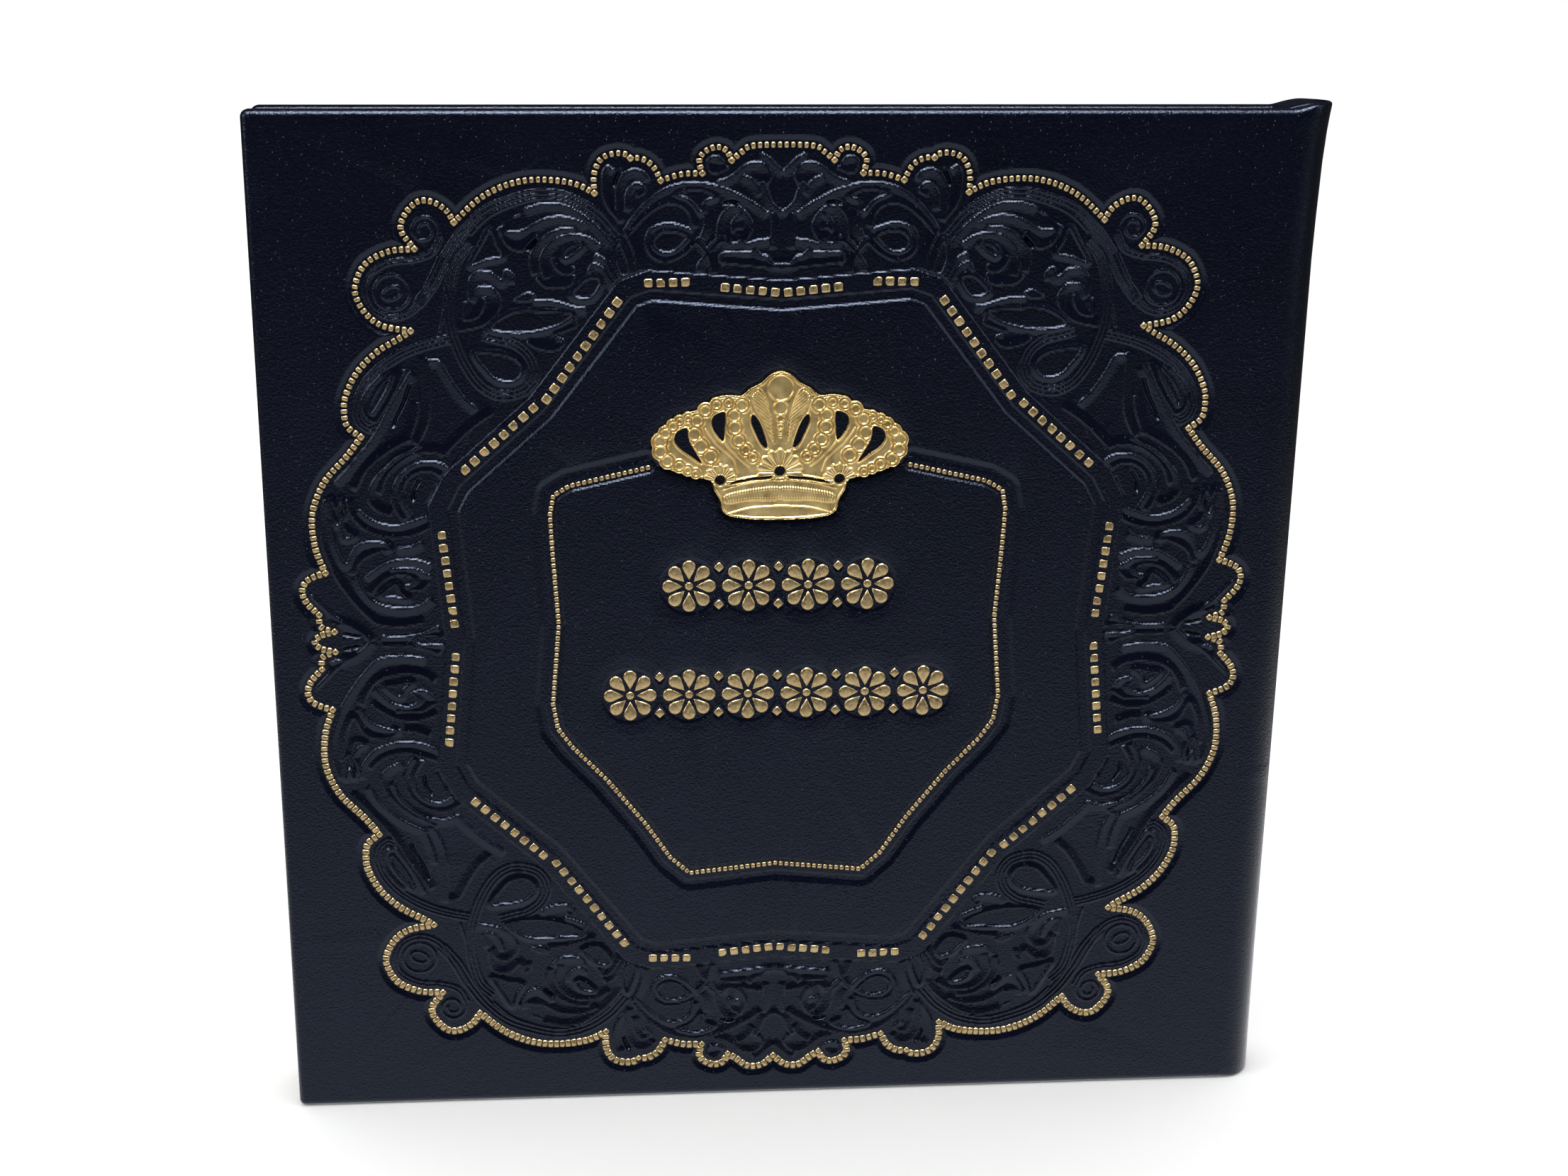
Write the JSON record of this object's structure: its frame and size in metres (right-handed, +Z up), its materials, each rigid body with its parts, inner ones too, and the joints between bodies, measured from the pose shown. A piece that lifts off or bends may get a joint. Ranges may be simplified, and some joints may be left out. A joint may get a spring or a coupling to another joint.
{
  "type": "prayer book",
  "caption": "Square hard-bound prayer book in dark embossed leather with a gold beaded border, a crown plaque, hinged covers and turning leaves.",
  "frame": {"origin": "on the surface that the book stands on, at the middle of its box", "axes": "+Z up along the spine from tail to head, +X towards the spine, -Y out of the front cover"},
  "size_m": [0.142, 0.0128, 0.1428],
  "materials": {
    "leather": "fine grain, semi-gloss, dark navy",
    "gold_foil": "hot-stamped gold foil",
    "crown_gold": "polished stamped gold-coloured metal",
    "board": "grey binder's board",
    "endpaper": "smooth cream endpaper",
    "leaf_paper": "uncoated cream text paper",
    "lining_cloth": "open-weave lining cloth",
    "thread": "linen thread",
    "band_cloth": "woven headband"
  },
  "bodies": {
    "spine": {"spine_leather": "leather", "spine_stiffener": "board", "mull": "lining_cloth", "sewing_thread": "thread", "headband": "band_cloth", "tailband": "band_cloth", "section_6": "leaf_paper"},
    "front_cover": {"front_leather": "leather", "front_board": "board", "front_pastedown": "endpaper", "border_beading": "gold_foil", "frame_squares": "gold_foil", "panel_beading": "gold_foil", "title_ornament": "gold_foil", "crown_plaque": "crown_gold"},
    "back_cover": {"back_leather": "leather", "back_board": "board", "back_pastedown": "endpaper"},
    "flyleaf_front": {"front_flyleaf": "endpaper"},
    "leaves_1": {"section_1": "leaf_paper"},
    "leaves_2": {"section_2": "leaf_paper"},
    "leaves_3": {"section_3": "leaf_paper"},
    "leaves_4": {"section_4": "leaf_paper"},
    "leaves_5": {"section_5": "leaf_paper"},
    "flyleaf_back": {"back_flyleaf": "endpaper"}
  },
  "joints": [
    {"name": "front_cover_hinge", "type": "hinge", "parent": "spine", "child": "front_cover", "pos_m": [0.066, -0.0056, 0.071], "axis": [0, 0, 1], "range_deg": [0, 170]},
    {"name": "back_cover_hinge", "type": "hinge", "parent": "spine", "child": "back_cover", "pos_m": [0.066, 0.0064, 0.071], "axis": [0, 0, -1], "range_deg": [0, 170]},
    {"name": "front_flyleaf_turn", "type": "hinge", "parent": "spine", "child": "flyleaf_front", "pos_m": [0.0654, -0.0022, 0.071], "axis": [0, 0, 1], "range_deg": [0, 85.1]},
    {"name": "section_1_turn", "type": "hinge", "parent": "spine", "child": "leaves_1", "pos_m": [0.0652, -0.00195, 0.071], "axis": [0, 0, 1], "range_deg": [0, 71.5]},
    {"name": "section_2_turn", "type": "hinge", "parent": "spine", "child": "leaves_2", "pos_m": [0.0652, -0.00115, 0.071], "axis": [0, 0, 1], "range_deg": [0, 57.9]},
    {"name": "section_3_turn", "type": "hinge", "parent": "spine", "child": "leaves_3", "pos_m": [0.0652, -0.00035, 0.071], "axis": [0, 0, 1], "range_deg": [0, 44.3]},
    {"name": "section_4_turn", "type": "hinge", "parent": "spine", "child": "leaves_4", "pos_m": [0.0652, 0.00045, 0.071], "axis": [0, 0, 1], "range_deg": [0, 30.7]},
    {"name": "section_5_turn", "type": "hinge", "parent": "spine", "child": "leaves_5", "pos_m": [0.0652, 0.00125, 0.071], "axis": [0, 0, 1], "range_deg": [0, 17.1]},
    {"name": "back_flyleaf_turn", "type": "hinge", "parent": "spine", "child": "flyleaf_back", "pos_m": [0.0654, 0.003, 0.071], "axis": [0, 0, -1], "range_deg": [0, 51.1]}
  ],
  "couplings": [
    {"joint": "front_flyleaf_turn", "follows": "front_cover_hinge", "ratio": 0.5},
    {"joint": "section_1_turn", "follows": "front_cover_hinge", "ratio": 0.42},
    {"joint": "section_2_turn", "follows": "front_cover_hinge", "ratio": 0.34},
    {"joint": "section_3_turn", "follows": "front_cover_hinge", "ratio": 0.26},
    {"joint": "section_4_turn", "follows": "front_cover_hinge", "ratio": 0.18},
    {"joint": "section_5_turn", "follows": "front_cover_hinge", "ratio": 0.1},
    {"joint": "back_flyleaf_turn", "follows": "back_cover_hinge", "ratio": 0.3}
  ]
}
